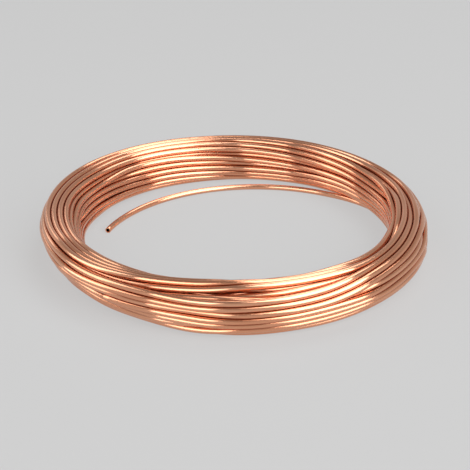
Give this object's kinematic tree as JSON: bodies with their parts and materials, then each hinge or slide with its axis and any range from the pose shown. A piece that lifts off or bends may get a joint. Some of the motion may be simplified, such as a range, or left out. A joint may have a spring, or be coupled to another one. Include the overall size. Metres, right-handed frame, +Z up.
{
  "type": "copper tube coil",
  "caption": "Ring-shaped coil of thin soft copper tube lying flat, its inner end free in the eye of the coil and its outer end against the bundle, both cut open.",
  "frame": {"origin": "centre of the coil's outline, at the level of the floor it lies on", "axes": "+Z up along the coil's axis; the free inner end leaves the bundle on the +X +Y side, runs along the +Y side of the eye and is cut off on the -X side"},
  "size_m": [0.3856, 0.3838, 0.0487],
  "materials": {
    "copper": "bright drawn copper"
  },
  "bodies": {
    "root": {"copper_tube": "copper"}
  },
  "joints": []
}
